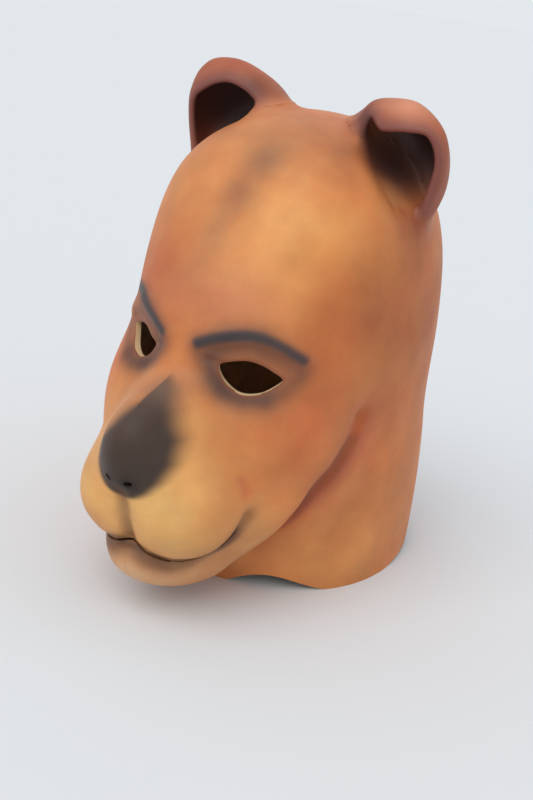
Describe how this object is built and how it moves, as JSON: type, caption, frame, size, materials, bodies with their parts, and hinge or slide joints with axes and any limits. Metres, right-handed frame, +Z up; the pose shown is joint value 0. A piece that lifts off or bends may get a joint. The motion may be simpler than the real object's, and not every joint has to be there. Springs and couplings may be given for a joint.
{
  "type": "bear mask",
  "caption": "Full-head latex bear mask open at the neck, with cupped ears, eye and nostril holes and a slit mouth.",
  "frame": {"origin": "centre of the bounding box in X and Y, at the level of the neck rim that the mask stands on", "axes": "+Z up through the crown, -Y the way the face looks, +X towards the wearer's left"},
  "size_m": [0.1843, 0.299, 0.3186],
  "materials": {
    "painted_latex": "airbrushed latex, waxy semi-matte, orange-brown with a tan muzzle, dark nose and brows"
  },
  "bodies": {
    "root": {"mask_skin": "painted_latex"}
  },
  "joints": []
}
